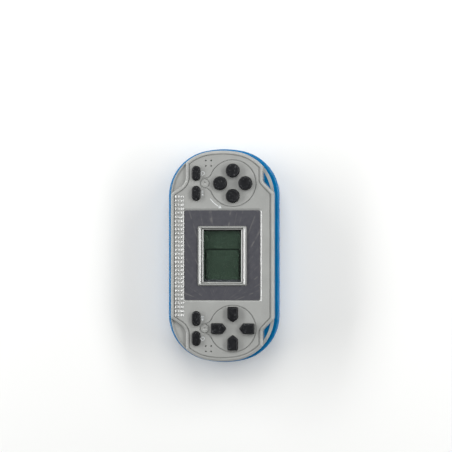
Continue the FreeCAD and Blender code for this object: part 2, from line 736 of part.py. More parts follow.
def latch_pocket():
    """(walls, room) of the pocket over the door's latch."""
    tongue, inner, outer = latch_x()
    x1 = outer + LATCH_LEG + LATCH_NOSE + LATCH_ROOM
    half = LATCH_WIDTH / 2 + LATCH_SIDE_GAP
    top = DOOR_THICKNESS + LATCH_HEIGHT + LATCH_ROOM
    walls = block(
        BAY_HALF_LENGTH, x1 + POCKET_WALL, -half - POCKET_WALL, half + POCKET_WALL, 0, top + POCKET_WALL
    )
    room = block(DOOR_HALF_LENGTH + DOOR_CLEARANCE, x1, -half, half, WALL, top)
    return walls, room


def door_opening():
    """What the door, its latch and its tabs need cut out of the rear casing."""
    x1 = DOOR_HALF_LENGTH + DOOR_CLEARANCE
    y1 = DOOR_HALF_WIDTH + DOOR_CLEARANCE
    ledge = DOOR_THICKNESS + DOOR_LIFT
    tongue, inner, outer = latch_x()
    half = LATCH_WIDTH / 2 + LATCH_SIDE_GAP
    cuts = [
        prism(rectangle(2 * x1, 2 * y1, DOOR_CORNER + DOOR_CLEARANCE), -OVERRUN, ledge),
        block(BAY_HALF_LENGTH, outer + LATCH_LEG + DOOR_CLEARANCE, -half, half, -OVERRUN, WALL + HAIR),
    ]
    reach = DOOR_HALF_LENGTH + DOOR_TAB_REACH + DOOR_TAB_ROOM
    swing = math.hypot(DOOR_TAB_REACH, WALL + DOOR_CLEARANCE + DOOR_TAB_THICKNESS) + DOOR_TAB_ROOM
    for sy in ENDS:
        y0 = sy * DOOR_TAB_Y - DOOR_TAB_WIDTH / 2 - DOOR_TAB_SIDE_GAP
        y1 = y0 + DOOR_TAB_WIDTH + 2 * DOOR_TAB_SIDE_GAP
        cuts.append(block(-reach, -BAY_HALF_LENGTH + HAIR, y0, y1, WALL, swing))
        cuts.append(block(-x1, -BAY_HALF_LENGTH + HAIR, y0, y1, DOOR_THICKNESS, WALL + HAIR))
    return cuts


def screw_posts():
    socket = BOSS_RADIUS + POST_CLEARANCE
    posts, holes = [], []
    for x, y in case_screw_places():
        posts.append(rod(socket + POST_WALL, x, y, 0, POST_TOP_Z))
        holes.append(rod(COUNTERBORE_RADIUS, x, y, -OVERRUN, COUNTERBORE_DEPTH))
        holes.append(rod(SCREW_RADIUS + SCREW_CLEARANCE, x, y, 0, POST_TOP_Z))
        holes.append(rod(socket, x, y, COUNTERBORE_DEPTH + POST_WEB, PLATE_INSIDE_Z))
    return posts, holes


def buzzer_ring():
    outer = rod(BUZZER_RADIUS + BUZZER_LEDGE, BUZZER_X, BUZZER_Y, WALL - EMBED, BUZZER_SEAT_Z)
    return outer.cut(rod(BUZZER_RADIUS - BUZZER_RING_WALL, BUZZER_X, BUZZER_Y, 0, BUZZER_SEAT_Z + OVERRUN))


def finger_scoop():
    tongue, inner, outer = latch_x()
    x = outer + LATCH_LEG + SCOOP_OFFSET
    return Part.makeSphere(SCOOP_RADIUS, Vector(x, 0, SCOOP_DEPTH - SCOOP_RADIUS))


def tag_slots():
    """Slots in the bay's roof for the contacts' solder tags."""
    slots = []
    for x, y in tag_places():
        slots.append(
            block(
                x - CONTACT_THICKNESS / 2 - TAG_SLOT_CLEARANCE,
                x + CONTACT_THICKNESS / 2 + TAG_SLOT_CLEARANCE,
                y - TAG_WIDTH / 2 - TAG_SLOT_CLEARANCE,
                y + TAG_WIDTH / 2 + TAG_SLOT_CLEARANCE,
                BAY_TOP_Z - OVERRUN,
                BOARD_TOP_Z + OVERRUN,
            )
        )
    return slots


def rear_casing():
    body = body_plan()
    full = capsule(REAR_PROUD_END, REAR_PROUD_SIDE)
    shell = prism(full, 0, PARTING_Z)
    shell = shell.makeFillet(REAR_EDGE_RADIUS, edges_at(shell, 0))
    shell = shell.makeFillet(REAR_TOP_EASE, edges_at(shell, PARTING_Z))
    hull = shell
    room = prism(grown(full, -WALL), WALL, PARTING_Z - SHELF_THICKNESS)
    room = room.makeFillet(REAR_EDGE_RADIUS - WALL, edges_at(room, WALL))
    mouth = prism(grown(body, -WALL), PARTING_Z - SHELF_THICKNESS - HAIR, PLATE_INSIDE_Z)
    shell = without(shell, [room, mouth])
    tongue = grown(body, -TONGUE_WALL - TONGUE_CLEARANCE).cut(grown(body, -WALL))
    tongue = prism(tongue, PARTING_Z - EMBED, PARTING_Z + TONGUE_HEIGHT)
    walls, pocket = latch_pocket()
    posts, holes = screw_posts()
    inside = shell.fuse([bay_block(), walls, tongue, buzzer_ring()])
    posts = [post.common(hull) for post in posts]
    inside = inside.fuse(posts).removeSplitter()
    bay = block(
        -BAY_HALF_LENGTH, BAY_HALF_LENGTH, -BAY_HALF_WIDTH, BAY_HALF_WIDTH, -OVERRUN, BAY_TOP_Z
    )
    cuts = [bay, pocket, finger_scoop()] + door_opening() + holes + tag_slots()
    return without(inside, cuts)


# ---------------------------------------------------------------- battery door
def battery_door():
    plate = prism(rectangle(2 * DOOR_HALF_LENGTH, 2 * DOOR_HALF_WIDTH, DOOR_CORNER), 0, DOOR_THICKNESS)
    tongue, inner, outer = latch_x()
    half = LATCH_WIDTH / 2
    pieces = [plate, block(DOOR_HALF_LENGTH - 1, tongue, -half, half, 0, DOOR_THICKNESS)]
    low = WALL + DOOR_CLEARANCE
    for sy in ENDS:
        y0 = sy * DOOR_TAB_Y - DOOR_TAB_WIDTH / 2
        y1 = y0 + DOOR_TAB_WIDTH
        root = -BAY_HALF_LENGTH - DOOR_TAB_SETBACK
        tip = -DOOR_HALF_LENGTH - DOOR_TAB_REACH
        pieces.append(block(tip, root, y0, y1, low, low + DOOR_TAB_THICKNESS))
        pieces.append(block(-DOOR_HALF_LENGTH, root, y0, y1, DOOR_THICKNESS - EMBED, low + HAIR))
    door = joined(pieces)
    cuts = []
    for i in range(DOOR_RIB_COUNT):
        x = DOOR_HALF_LENGTH - DOOR_GRIP_INSET - i * DOOR_RIB_PITCH
        slot = rectangle(DOOR_RIB_WIDTH, DOOR_RIB_LENGTH, DOOR_RIB_WIDTH / 2 - HAIR, x)
        cuts.append(prism(slot, -OVERRUN, DOOR_RIB_DEPTH))
    tip = DOOR_HALF_LENGTH - DOOR_GRIP_INSET - DOOR_RIB_COUNT * DOOR_RIB_PITCH - DOOR_ARROW_GAP
    base, half = tip - DOOR_ARROW_LENGTH, DOOR_ARROW_WIDTH / 2
    arrow = rounded_polygon([(tip, 0), (base, half), (base, -half)], [DOOR_ARROW_CORNER] * 3)
    cuts.append(prism(arrow, -OVERRUN, DOOR_RIB_DEPTH))
    return without(door, cuts)


def battery_door_latch():
    """The door's springy hook: up from its tongue, over a bend and down to the finger pad."""
    tongue, inner, outer = latch_x()
    half = LATCH_WIDTH / 2
    top = DOOR_THICKNESS + LATCH_HEIGHT
    bend = (outer + LATCH_LEG - inner) / 2
    centre_x = inner + bend
    bend_z = top - bend
    across = Vector(0, 1, 0)
    start = Vector(centre_x, -half, bend_z)
    tube = Part.makeCylinder(bend, LATCH_WIDTH, start, across)
    hole = Part.makeCylinder(bend - LATCH_LEG, LATCH_WIDTH, start, across)
    tube = tube.cut(hole).cut(block(-FAR, FAR, -FAR, FAR, -FAR, bend_z))
    legs = [
        block(inner, inner + LATCH_LEG, -half, half, DOOR_THICKNESS, bend_z),
        block(outer, outer + LATCH_LEG, -half, half, LATCH_LIFT, bend_z),
    ]
    nose_x = outer + LATCH_LEG
    root = nose_x - LATCH_LEG / 2
    low = WALL + LATCH_NOSE_GAP
    nose = Part.Face(
        Part.makePolygon(
            [
                Vector(root, -half, low),
                Vector(nose_x + LATCH_NOSE, -half, low),
                Vector(nose_x, -half, low + LATCH_NOSE_HEIGHT),
                Vector(root, -half, low + LATCH_NOSE_HEIGHT),
                Vector(root, -half, low),
            ]
        )
    ).extrude(Vector(0, LATCH_WIDTH, 0))
    return joined([tube] + legs + [nose])


# ---------------------------------------------------------------- batteries and contacts
def battery_cell(y, way):
    """An AAA cell along X, its positive nub at the end that way points to."""
    plate_x = BAY_HALF_LENGTH - CONTACT_THICKNESS - CONTACT_GAP
    nub_x = way * plate_x
    profile = [
        (0, 0),
        (0, CELL_NUB_RADIUS),
        (CELL_NUB_LENGTH, CELL_NUB_RADIUS),
        (CELL_NUB_LENGTH, CELL_RADIUS - CELL_SHOULDER),
        (CELL_NUB_LENGTH + CELL_SHOULDER, CELL_RADIUS),
        (CELL_FULL_LENGTH - CELL_FOOT, CELL_RADIUS),
        (CELL_FULL_LENGTH, CELL_RADIUS - CELL_FOOT),
        (CELL_FULL_LENGTH, 0),
    ]
    points = [Vector(nub_x - way * along, 0, out) for along, out in profile]
    face = Part.Face(Part.makePolygon(points + [points[0]]))
    cell = face.revolve(Vector(0, 0, 0), Vector(1, 0, 0), 360)
    cell.translate(Vector(0, y, CELL_Z))
    return cell


def contact_plate(side, y):
    """A flat contact against the bay's end wall."""
    x1 = side * (BAY_HALF_LENGTH - CONTACT_GAP)
    x0 = x1 - side * CONTACT_THICKNESS
    return block(
        min(x0, x1),
        max(x0, x1),
        y - CONTACT_WIDTH / 2,
        y + CONTACT_WIDTH / 2,
        CELL_Z - CONTACT_WIDTH / 2,
        CELL_Z + CONTACT_WIDTH / 2,
    )


def tag_places():
    """The solder tags of the two contacts at the -X end, as (x, y)."""
    x = -(BAY_HALF_LENGTH - CONTACT_GAP - CONTACT_THICKNESS / 2)
    return [(x, -CELL_SPACING / 2 - TAG_SHIFT), (x, CELL_SPACING / 2)]


def tag(place):
    x, y = place
    return block(
        x - CONTACT_THICKNESS / 2,
        x + CONTACT_THICKNESS / 2,
        y - TAG_WIDTH / 2,
        y + TAG_WIDTH / 2,
        CELL_Z,
        BOARD_TOP_Z - TAG_DROP,
    )


def leaf_spring(side, y):
    """The bowed leaf of a contact, joined at its top end and free at its lower end."""
    plate_x = side * (BAY_HALF_LENGTH - CONTACT_GAP - CONTACT_THICKNESS)
    start = Vector(plate_x, y - SPRING_WIDTH / 2, CELL_Z)
    across = Vector(0, 1, 0)
    bow = Part.makeCylinder(SPRING_REACH, SPRING_WIDTH, start, across)
    bow = bow.cut(Part.makeCylinder(SPRING_REACH - SPRING_THICKNESS, SPRING_WIDTH, start, across))
    free_x = plate_x - side * SPRING_FREE_GAP
    behind = block(min(plate_x, side * FAR), max(plate_x, side * FAR), -FAR, FAR, 0, FAR)
    below = block(min(free_x, side * FAR), max(free_x, side * FAR), -FAR, FAR, 0, CELL_Z)
    return bow.cut([behind, below])


def cell_spring_contact():
    y = CELL_SPACING / 2
    return joined([contact_plate(-1, y), tag(tag_places()[1]), leaf_spring(-1, y)])


def cell_plate_contact():
    return joined([contact_plate(-1, -CELL_SPACING / 2), tag(tag_places()[0])])


def cell_link_contact():
    """The strip at the +X end that joins one cell to the other."""
    x1 = BAY_HALF_LENGTH - CONTACT_GAP
    bridge = block(x1 - CONTACT_THICKNESS, x1, -CELL_SPACING / 2, CELL_SPACING / 2, CELL_Z - 2, CELL_Z + 2)
    plates = [contact_plate(1, -CELL_SPACING / 2), contact_plate(1, CELL_SPACING / 2), bridge]
    return joined(plates + [leaf_spring(1, -CELL_SPACING / 2)])


# ---------------------------------------------------------------- display
def display_plate(thickness, z, inset_x=0.0):
    x0, x1, y0, y1 = lcd_outline()
    return block(x0 + inset_x, x1, y0, y1, z, z + thickness)


def screen_window():
    size = [side + 2 * WINDOW_MARGIN for side in LCD_VIEW]
    top = PLATE_INSIDE_Z + WINDOW_REBATE - WINDOW_GAP
    return prism(rectangle(*size, WINDOW_CORNER), top - WINDOW_THICKNESS, top)


def screen_panel():
    """The dark printed panel, stuck in its recess round the screen frame."""
    gap = 2 * PANEL_MARGIN
    outer = rectangle(PANEL_LENGTH - gap, PANEL_WIDTH - gap, PANEL_CORNER, PANEL_SHIFT)
    inner = rectangle(FRAME_LENGTH + gap, FRAME_WIDTH + gap, PANEL_CORNER)
    return prism(outer.cut(inner), RECESS_Z, RECESS_Z + PANEL_THICKNESS)


def lcd_levels():
    """Bottom heights of the display's layers, from the top film down."""
    film = PLATE_INSIDE_Z - LCD_GAP - FILM_THICKNESS
    front = film - GLASS_THICKNESS
    rear = front - GLASS_THICKNESS
    reflector = rear - FILM_THICKNESS
    return film, front, rear, reflector


def lcd_zebra_strip():
    film, front, rear, reflector = lcd_levels()
    x0, x1, y0, y1 = lcd_outline()
    x0 += STRIP_INSET
    return block(x0, x0 + ZEBRA_WIDTH, y0 + STRIP_INSET, y1 - STRIP_INSET, BOARD_TOP_Z, front)


def lcd_foam_pad():
    film, front, rear, reflector = lcd_levels()
    x0, x1, y0, y1 = lcd_outline()
    x1 -= STRIP_INSET
    return block(x1 - FOAM_WIDTH, x1, y0 + STRIP_INSET, y1 - STRIP_INSET, BOARD_TOP_Z, reflector)


# ---------------------------------------------------------------- board
def main_board():
    board = prism(grown(body_plan(), -BOARD_INSET), BOARD_Z, BOARD_TOP_Z)
    holes = [
        rod(BOSS_RADIUS + BOARD_HOLE_CLEARANCE, x, y, BOARD_Z - OVERRUN, BOARD_TOP_Z + OVERRUN)
        for x, y in case_screw_places()
    ]
    holes += [
        rod(BOARD_SCREW_RADIUS + BOARD_HOLE_CLEARANCE, x, y, BOARD_Z - OVERRUN, BOARD_TOP_Z + OVERRUN)
        for x, y in four_corners(BOARD_SCREW)
    ]
    board = without(board, holes + tag_slots())
    return max(board.Solids, key=lambda s: s.Volume)


def chip_cover():
    """The epoxy blob over the game's chip, under the display."""
    sphere = (CHIP_RADIUS ** 2 + CHIP_HEIGHT ** 2) / (2 * CHIP_HEIGHT)
    ball = Part.makeSphere(sphere, Vector(0, 0, BOARD_TOP_Z + CHIP_HEIGHT - sphere))
    room = block(-CHIP_RADIUS, CHIP_RADIUS, -CHIP_RADIUS, CHIP_RADIUS, BOARD_TOP_Z, BOARD_TOP_Z + 2)
    return ball.common(room)


def board_components():
    """Chip capacitors and resistors beside the display."""
    length, width, height = COMPONENT_SIZE
    parts = []
    for x, y in COMPONENT_PLACES:
        corner = Vector(x - length / 2, y - width / 2, BOARD_TOP_Z)
        parts.append(Part.makeBox(length, width, height, corner))
    return Part.makeCompound(parts)


# ---------------------------------------------------------------- sounder
def buzzer_disc():
    return rod(BUZZER_RADIUS, BUZZER_X, BUZZER_Y, BUZZER_SEAT_Z, BUZZER_SEAT_Z + BUZZER_THICKNESS)


def buzzer_ceramic():
    low = BUZZER_SEAT_Z + BUZZER_THICKNESS
    return rod(CERAMIC_RADIUS, BUZZER_X, BUZZER_Y, low, low + BUZZER_THICKNESS)


def wire(points):
    """A round wire along straight runs joined by tangent arcs."""
    stops = [Vector(*p) for p in points]
    edges, start = [], stops[0]
    for before, here, after in zip(stops, stops[1:], stops[2:]):
        back, ahead = (before - here), (after - here)
        reach = BEND_SHARE * min(back.Length, ahead.Length)
        back.normalize()
        ahead.normalize()
        half = back.getAngle(ahead) / 2
        radius = reach * math.tan(half)
        middle = (back + ahead).normalize()
        centre = here + middle * (radius / math.sin(half))
        first, last = here + back * reach, here + ahead * reach
        edges.append(Part.makeLine(start, first))
        edges.append(arc(first, centre - middle * radius, last))
        start = last
    edges.append(Part.makeLine(start, stops[-1]))
    path = Part.Wire(edges)
    section = Part.Wire([Part.makeCircle(WIRE_RADIUS, stops[0], stops[1] - stops[0])])
    return path.makePipeShell([section], True, True)


def buzzer_wires():
    """Two leads, from the brass and from the ceramic up to the board's underside."""
    brass = BUZZER_SEAT_Z + BUZZER_THICKNESS
    ceramic = brass + BUZZER_THICKNESS
    joints = [(BRASS_JOINT, brass, BRASS_LEAD_SHIFT), (CERAMIC_JOINT, ceramic, CERAMIC_LEAD_SHIFT)]
    leads = []
    for (dx, dy), z, (shift_x, shift_y) in joints:
        x0, y0 = BUZZER_X + dx, BUZZER_Y + dy
        x1, y1 = x0 + shift_x, y0 + shift_y
        lower = [(x0, y0, z), (x0, y0, z + LEAD_RISE)]
        upper = [(x1, y1, BOARD_Z - LEAD_RISE), (x1, y1, BOARD_Z)]
        leads.append(wire(lower + upper))
    return Part.makeCompound(leads)


# ---------------------------------------------------------------- keys and membranes
def key_cap(outline, small):
    flange = SMALL_FLANGE_WIDTH if small else FLANGE_WIDTH
    top = PLATE_TOP_Z + (SMALL_KEY_STAND if small else KEY_STAND - PAD_DISH_DEPTH / 2)
    stem = prism(outline, FLANGE_Z + FLANGE_THICKNESS / 2, top)
    stem = stem.makeFillet(KEY_EDGE_RADIUS, edges_at(stem, top))
    return joined([stem, prism(grown(outline, flange), FLANGE_Z, FLANGE_TOP_Z)])


def key_pill(x, y, small):
    radius = SMALL_PILL_RADIUS if small else PILL_RADIUS
    return rod(radius, x, y, PILL_Z, PILL_Z + PILL_THICKNESS)


def membrane(sx):
    """The rubber sheet under one end's keys, with a dome under each key."""
    pad = disc(SHEET_RADIUS, sx * PAD_X, PAD_Y)
    strip = rectangle(SMALL_SHEET_LENGTH, SMALL_SHEET_WIDTH, SHEET_CORNER, sx * PAD_X, SMALL_KEY_Y)
    neck = rectangle(SHEET_NECK, SMALL_KEY_Y - PAD_Y, x=sx * PAD_X, y=(SMALL_KEY_Y + PAD_Y) / 2)
    plan = filled_corners(one_face(joined([pad, strip, neck])), SHEET_CORNER)
    sheet = prism(plan, BOARD_TOP_Z, BOARD_TOP_Z + SHEET_THICKNESS)
    domes, hollows = [], []
    plug = PILL_Z + PILL_THICKNESS
    for name, end, outline, x, y, small in KEYS:
        if end != sx:
            continue
        base = SMALL_DOME_BASE_RADIUS if small else DOME_BASE_RADIUS
        top = SMALL_DOME_TOP_RADIUS if small else DOME_TOP_RADIUS
        domes.append(Part.makeCone(base, top, FLANGE_Z - BOARD_TOP_Z, Vector(x, y, BOARD_TOP_Z)))
        hollows.append(
            Part.makeCone(base - DOME_WALL, top - DOME_WALL, plug - BOARD_TOP_Z, Vector(x, y, BOARD_TOP_Z))
        )
    return without(joined([sheet] + domes), hollows)


# ---------------------------------------------------------------- fasteners
def screw(x, y, head_z, head_radius, head_height, radius, length):
    """A pan-head screw pointing up, with a cross recess in its head."""
    head = rod(head_radius, x, y, head_z, head_z + head_height)
    head = head.makeFillet(head_height * HEAD_ROUNDING, edges_at(head, head_z))
    shank = rod(radius, x, y, head_z, head_z + head_height + length)
    shank = shank.makeChamfer(radius / 2, edges_at(shank, head_z + head_height + length))
    body = joined([head, shank])
    bar = head_radius * CROSS_REACH
    slot = head_radius * CROSS_HALF_WIDTH
    cross = [
        block(x - bar, x + bar, y - slot, y + slot, head_z - OVERRUN, head_z + head_height / 2),
        block(x - slot, x + slot, y - bar, y + bar, head_z - OVERRUN, head_z + head_height / 2),
    ]
    return without(body, cross)


def casing_screws():
    head_z = COUNTERBORE_DEPTH - SCREW_HEAD_HEIGHT
    return Part.makeCompound(
        [
            screw(x, y, head_z, SCREW_HEAD_RADIUS, SCREW_HEAD_HEIGHT, SCREW_RADIUS, SCREW_LENGTH)
            for x, y in case_screw_places()
        ]
    )


def board_screws():
    head_z = BOARD_Z - BOARD_HEAD_HEIGHT
    return Part.makeCompound(
        [
            screw(x, y, head_z, BOARD_HEAD_RADIUS, BOARD_HEAD_HEIGHT, BOARD_SCREW_RADIUS, BOARD_SCREW_LENGTH)
            for x, y in four_corners(BOARD_SCREW)
        ]
    )


# ---------------------------------------------------------------- build every node
def main():
    os.makedirs("parts", exist_ok=True)
    film, front, rear, reflector = lcd_levels()
    save("front_casing", front_casing())
    save("rear_casing", rear_casing())
    save("battery_door", battery_door())
    save("battery_door_latch", battery_door_latch())
    save("casing_screws", casing_screws())
    save("board_screws", board_screws())
    save("screen_panel", screen_panel())
    save("screen_window", screen_window())
    save("lcd_top_film", display_plate(FILM_THICKNESS, film, GLASS_LEDGE))
    save("lcd_front_glass", display_plate(GLASS_THICKNESS, front))
    save("lcd_rear_glass", display_plate(GLASS_THICKNESS, rear, GLASS_LEDGE))
    save("lcd_reflector", display_plate(FILM_THICKNESS, reflector, GLASS_LEDGE))
    save("lcd_zebra_strip", lcd_zebra_strip())
    save("lcd_foam_pad", lcd_foam_pad())
    save("main_board", main_board())
    save("chip_cover", chip_cover())
    save("board_components", board_components())
    save("buzzer_disc", buzzer_disc())
    save("buzzer_ceramic", buzzer_ceramic())
    save("buzzer_wires", buzzer_wires())
    save("battery_cell_far", battery_cell(CELL_SPACING / 2, 1))
    save("battery_cell_near", battery_cell(-CELL_SPACING / 2, -1))
    save("cell_spring_contact", cell_spring_contact())
    save("cell_plate_contact", cell_plate_contact())
    save("cell_link_contact", cell_link_contact())
    save("keypad_membrane_left", membrane(-1))
    save("keypad_membrane_right", membrane(1))
    for name, end, outline, x, y, small in KEYS:
        save(name, key_cap(outline, small))
        save(name.replace("button", "pill"), key_pill(x, y, small))


main()
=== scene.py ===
"""Handheld LCD game on a pale table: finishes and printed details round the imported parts.

Lengths are in metres, and mm() turns millimetres into them. X runs along the case towards the round
keys, Y across it towards the grip ribs, and Z out of the screen.
"""

import math

import bmesh
import bpy
from mathutils import Matrix, Vector


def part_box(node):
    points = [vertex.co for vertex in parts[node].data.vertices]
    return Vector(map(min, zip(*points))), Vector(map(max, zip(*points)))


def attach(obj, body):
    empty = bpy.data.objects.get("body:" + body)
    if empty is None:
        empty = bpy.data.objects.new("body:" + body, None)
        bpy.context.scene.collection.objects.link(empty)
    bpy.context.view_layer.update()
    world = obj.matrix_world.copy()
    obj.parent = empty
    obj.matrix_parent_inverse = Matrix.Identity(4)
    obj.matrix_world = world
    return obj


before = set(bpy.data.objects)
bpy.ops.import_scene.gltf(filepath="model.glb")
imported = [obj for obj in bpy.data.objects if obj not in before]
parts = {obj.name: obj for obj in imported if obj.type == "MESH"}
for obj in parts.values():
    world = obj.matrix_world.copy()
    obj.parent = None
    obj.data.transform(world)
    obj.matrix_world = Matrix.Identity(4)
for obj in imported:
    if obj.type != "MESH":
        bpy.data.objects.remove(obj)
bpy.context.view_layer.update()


# ---- Table, light and view -------------------------------------------------------------------
# The game lies on its back on a pale matt table. Two long soft boxes stand at its sides, so the
# slopes that face them shine, and a large soft panel hangs beyond its far end.
def mm(value):
    """Millimetres as metres."""
    return value / 1000


def linear(hex_colour):
    """An sRGB hex colour as the linear colour that a shader takes."""
    channels = [int(hex_colour[i : i + 2], 16) / 255 for i in (1, 3, 5)]
    return [c / 12.92 if c <= 0.04045 else ((c + 0.055) / 1.055) ** 2.4 for c in channels] + [1.0]


def new_material(name):
    """An empty node material."""
    made = bpy.data.materials.new(name)
    made.use_nodes = True
    made.node_tree.nodes.clear()
    return made


def add(material, kind, inputs=None, **settings):
    """Adds a node. Settings are its own properties; inputs are values, or sockets to link from."""
    made = material.node_tree.nodes.new("ShaderNode" + kind)
    for name, value in settings.items():
        setattr(made, name, value)
    for name, value in (inputs or {}).items():
        if isinstance(value, bpy.types.NodeSocket):
            material.node_tree.links.new(value, made.inputs[name])
        else:
            made.inputs[name].default_value = value
    return made


def surface(material, shader):
    """Ends a material in its shader."""
    add(material, "OutputMaterial", {"Surface": shader.outputs[0]})


TABLE_SIZE = 4.0
TABLE_COLOUR = "#F0F0EE"
table_paint = new_material("matt_painted_table")
surface(
    table_paint,
    add(table_paint, "BsdfPrincipled", {"Base Color": linear(TABLE_COLOUR), "Roughness": 0.8}),
)
table_mesh = bpy.data.meshes.new("table")
half = TABLE_SIZE / 2
table_mesh.from_pydata(
    [(-half, -half, 0), (half, -half, 0), (half, half, 0), (-half, half, 0)], [], [(0, 1, 2, 3)]
)
table_mesh.materials.append(table_paint)
table = bpy.data.objects.new("table", table_mesh)
bpy.context.collection.objects.link(table)


def soft_box(name, place, width, height, watts):
    """A rectangular area light at a place, turned to the game."""
    data = bpy.data.lights.new(name, "AREA")
    data.shape = "RECTANGLE"
    data.size = width
    data.size_y = height
    data.energy = watts
    lamp = bpy.data.objects.new(name, data)
    lamp.location = place
    lamp.rotation_euler = (Vector() - Vector(place)).to_track_quat("-Z", "Y").to_euler()
    bpy.context.collection.objects.link(lamp)


BOX_LENGTH = 0.8
BOX_HEIGHT = 0.14
END_PANEL_SIDE = 0.5
soft_box("left_box", (0.12, 0.56, 0.30), BOX_LENGTH, BOX_HEIGHT, 3.6)
soft_box("right_box", (0.12, -0.50, 0.37), BOX_LENGTH, BOX_HEIGHT, 3.2)
soft_box("end_panel", (0.50, 0.0, 0.65), END_PANEL_SIDE, END_PANEL_SIDE, 2.6)

# The room is bright low down and darker overhead.
ROOM_COLOUR = "#EDEFF2"
ROOM_LOW = 0.55
ROOM_OVERHEAD = 0.05
DIMMING_STARTS = 0.1
world = bpy.data.worlds.new("studio")
world.use_nodes = True
world.node_tree.nodes.clear()
height = add(world, "SeparateXYZ", {"Vector": add(world, "TexCoord").outputs["Generated"]}).outputs[2]
dimming = {"Value": height, "From Min": DIMMING_STARTS, "To Min": ROOM_LOW, "To Max": ROOM_OVERHEAD}
brightness = add(world, "MapRange", dimming).outputs[0]
sky = add(world, "Background", {"Color": linear(ROOM_COLOUR), "Strength": brightness})
add(world, "OutputWorld", {"Surface": sky.outputs[0]})
bpy.context.scene.world = world
bpy.context.scene.view_settings.view_transform = "Standard"

# The view is almost square on from above, with the round keys at the top of the picture. It leans
# a little to the player's side.
VIEW_DISTANCE = 0.70
VIEW_WIDTH = mm(176.5)
VIEW_LEAN = math.radians(4.5)
VIEW_AIM = Vector((mm(11.7), mm(-1.5), mm(19.4)))
SENSOR = 36.0
eye = bpy.data.cameras.new("view")
eye.sensor_width = SENSOR
eye.lens = SENSOR * VIEW_DISTANCE / VIEW_WIDTH
camera = bpy.data.objects.new("view", eye)
away = Vector((0, -math.sin(VIEW_LEAN), math.cos(VIEW_LEAN)))
up = Vector((1, 0, 0))
right = up.cross(away)
turn = Matrix((right, up, away)).transposed().to_4x4()
camera.matrix_world = Matrix.Translation(VIEW_AIM + away * VIEW_DISTANCE) @ turn
bpy.context.collection.objects.link(camera)
bpy.context.scene.camera = camera


# ---- Front casing ----------------------------------------------------------------------------
# One moulding in silver-grey ABS. The tool's fine spark texture gives it a satin sheen, but the
# screen's recess and frame and the grip ribs are polished, down to the frame's inner lip.
def finish_part(name, material):
    """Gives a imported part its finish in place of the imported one."""
    mesh = parts[name].data
    mesh.materials.clear()
    mesh.materials.append(material)


def millimetres(material):
    """The place on the part, in mm, as a texture vector."""
    where = add(material, "TexCoord").outputs["Object"]
    return add(material, "Mapping", {"Vector": where, "Scale": (1000, 1000, 1000)}).outputs[0]


def noise(material, where, size, detail=2.0):
    """Soft noise with lumps of a size in mm."""
    made = add(material, "TexNoise", {"Vector": where, "Scale": 1 / size, "Detail": detail})
    return made.outputs["Fac"]


def spread(material, value, low, high, start=0.3, end=0.7):
    """A value that runs from low to high while another runs from start to end."""
    inputs = {"Value": value, "From Min": start, "From Max": end, "To Min": low, "To Max": high}
    return add(material, "MapRange", inputs).outputs[0]


def blend_colours(material, factor, first, second):
    """Two colours mixed by a factor; each is a colour or a socket."""
    inputs = {"Fac": factor, "Color1": first, "Color2": second}
    return add(material, "MixRGB", inputs).outputs[0]


def grained(material, where, size, depth, edge_radius, strength=1.0):
    """The normal of a surface with a moulded grain and lightly rounded edges, sizes in mm."""
    edges = add(material, "Bevel", {"Radius": mm(edge_radius)}, samples=4).outputs[0]
    height = noise(material, where, size, 1.0)
    inputs = {"Height": height, "Distance": mm(depth), "Normal": edges, "Strength": strength}
    return add(material, "Bump", inputs).outputs[0]


def within(material, where, centre, half):
    """1 inside an upright box with a centre and half sizes in mm, and 0 outside."""
    offset = add(material, "VectorMath", {0: where, 1: centre}, operation="SUBTRACT").outputs[0]
    offset = add(material, "VectorMath", {0: offset}, operation="ABSOLUTE").outputs[0]
    beyond = add(material, "VectorMath", {0: offset, 1: half}, operation="SUBTRACT").outputs[0]
    axes = add(material, "SeparateXYZ", {"Vector": beyond})
    most = add(material, "Math", {0: axes.outputs[0], 1: axes.outputs[1]}, operation="MAXIMUM")
    return add(material, "Math", {0: most.outputs[0], 1: 0.0}, operation="LESS_THAN").outputs[0]


SILVER = "#A1A29F"
SILVER_CLOUD = "#999A97"
SILVER_DUST = "#B9BAB8"
CLOUD_SIZE = 7.0
DUST_SIZE = 0.35
# The recess reaches past the dark panel in it. The other areas are given by the middle and the half
# sizes of an upright box, in mm.
RECESS_MARGIN = Vector((0.85, 0.8, 0))
GRIP_RIBS = ((0, 16.8, 0), (24.0, 1.75, 0))
FRAME_LIP = ((0.3, 0, 0), (10.85, 8.35, 0))
silver = new_material("abs_silver_grey_spark_textured")
where = millimetres(silver)
panel_low, panel_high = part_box("screen_panel")
panel_middle = (panel_low + panel_high) / (2 * mm(1))
panel_half = (panel_high - panel_low) / (2 * mm(1))
recess_area = within(silver, where, panel_middle, panel_half + RECESS_MARGIN)
rib_area = within(silver, where, *GRIP_RIBS)
polished = add(silver, "Math", {0: recess_area, 1: rib_area}, operation="MAXIMUM").outputs[0]
lip_area = within(silver, where, *FRAME_LIP)
polished = add(silver, "Math", {0: polished, 1: lip_area}, operation="SUBTRACT").outputs[0]
base = blend_colours(
    silver,
    spread(silver, noise(silver, where, CLOUD_SIZE, 3.0), 0, 1),
    linear(SILVER),
    linear(SILVER_CLOUD),
)
specks = spread(silver, noise(silver, where, DUST_SIZE, 0.0), 0, 0.35, 0.74, 0.80)
surface(
    silver,
    add(
        silver,
        "BsdfPrincipled",
        {
            "Base Color": blend_colours(silver, specks, base, linear(SILVER_DUST)),
            "Roughness": spread(silver, polished, 0.3, 0.09, 0, 1),
            "IOR": 1.53,
            "Normal": grained(silver, where, 0.18, 0.006, 0.12, spread(silver, polished, 1, 0, 0, 1)),
        },
    ),
)
finish_part("front_casing", silver)


